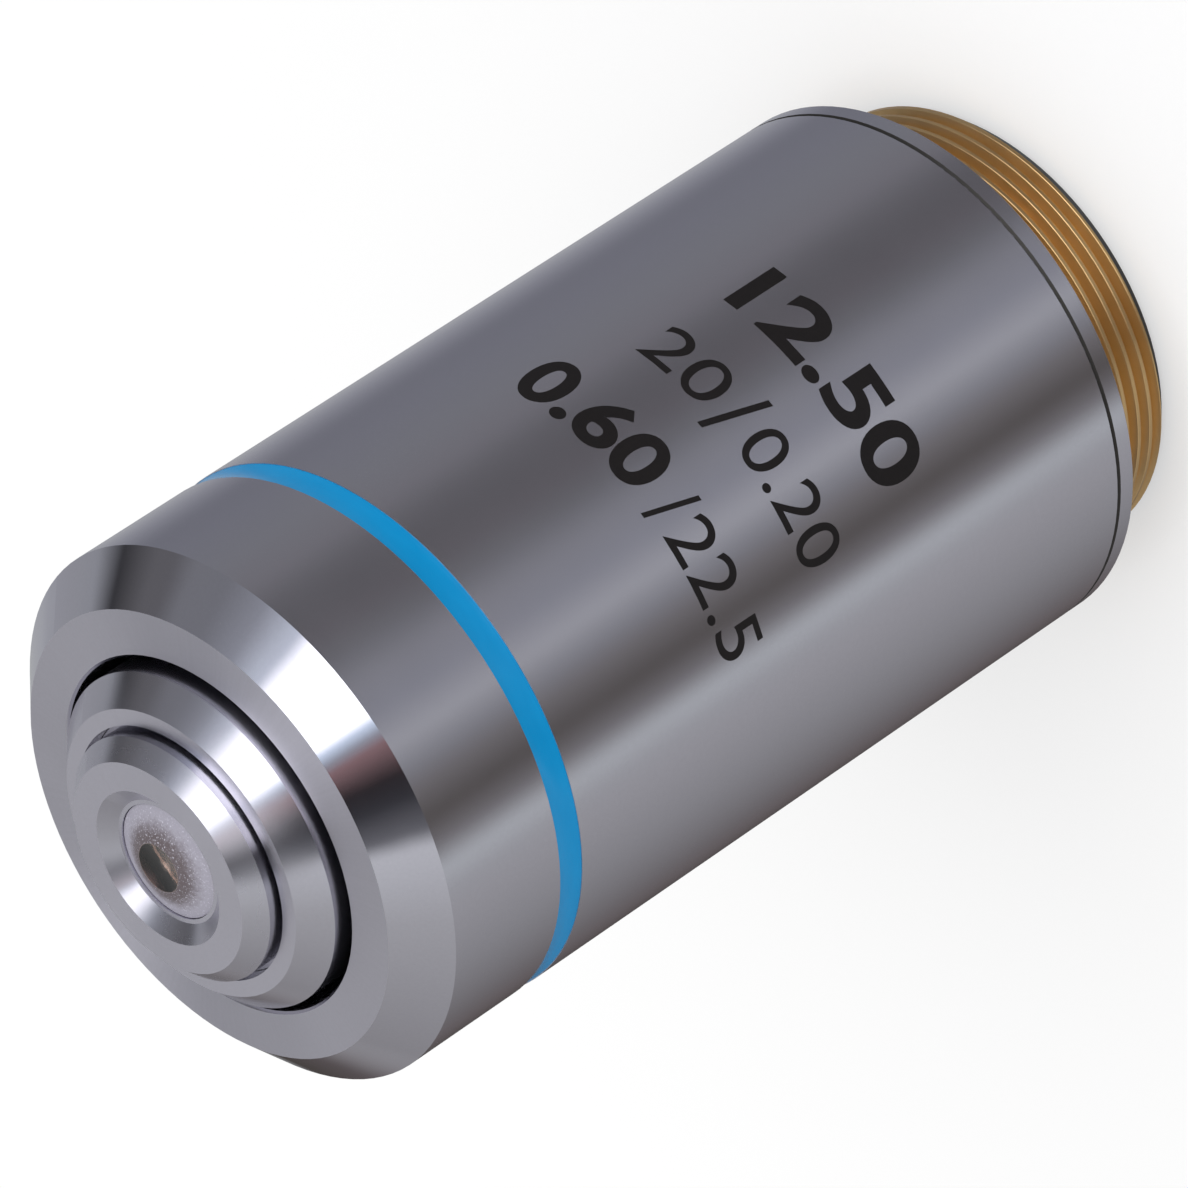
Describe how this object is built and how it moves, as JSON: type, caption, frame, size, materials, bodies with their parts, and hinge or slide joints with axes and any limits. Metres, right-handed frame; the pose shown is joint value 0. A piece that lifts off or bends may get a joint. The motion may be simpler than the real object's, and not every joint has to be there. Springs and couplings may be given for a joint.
{
  "type": "microscope objective",
  "caption": "Microscope objective: plain chamfered cylinder with a coloured ring, a spring-loaded stepped nose holding the lens train, and a standard rear mounting thread.",
  "frame": {"origin": "on the optical axis, in the plane of the shoulder that seats on the microscope", "axes": "+Z along the optical axis, out of the nose; -Y towards the side that carries the numbers"},
  "size_m": [0.024, 0.024, 0.0487],
  "materials": {
    "bare_brass": "bright turned brass",
    "satin_nickel": "satin nickel plate over turned brass, bright on the chamfers",
    "cyan_enamel": "glossy enamel",
    "screw_steel": "plain steel",
    "spring_steel": "drawn spring wire",
    "blackened_brass": "chemically blackened",
    "black_aluminium": "matt black anodised",
    "crown_glass": "polished and coated",
    "flint_glass": "polished and coated"
  },
  "bodies": {
    "housing": {"mount_body": "bare_brass", "outer_sleeve": "satin_nickel", "colour_band": "cyan_enamel", "guide_screw": "screw_steel", "parfocal_ring": "bare_brass", "spring_retainer": "blackened_brass", "coil_spring": "spring_steel"},
    "nose": {"lens_barrel": "satin_nickel", "front_cell": "satin_nickel", "front_lens": "crown_glass", "meniscus_cell": "blackened_brass", "meniscus_lens": "crown_glass", "centring_screws": "screw_steel", "front_spacer": "black_aluminium", "front_doublet_cell": "blackened_brass", "front_doublet_flint": "flint_glass", "front_doublet_crown": "crown_glass", "middle_spacer": "black_aluminium", "rear_doublet_cell": "blackened_brass", "rear_doublet_crown": "crown_glass", "rear_doublet_flint": "flint_glass", "baffle_tube": "black_aluminium", "aperture_stop": "blackened_brass", "field_cell": "blackened_brass", "field_lens": "flint_glass", "retaining_ring": "blackened_brass"}
  },
  "joints": [
    {"name": "nose_retract", "type": "slide", "parent": "housing", "child": "nose", "axis": [0, 0, -1], "range_m": [0, 0.002], "stiffness_N_per_m": 100, "springref_m": -0.006, "deforming": ["coil_spring"]}
  ]
}
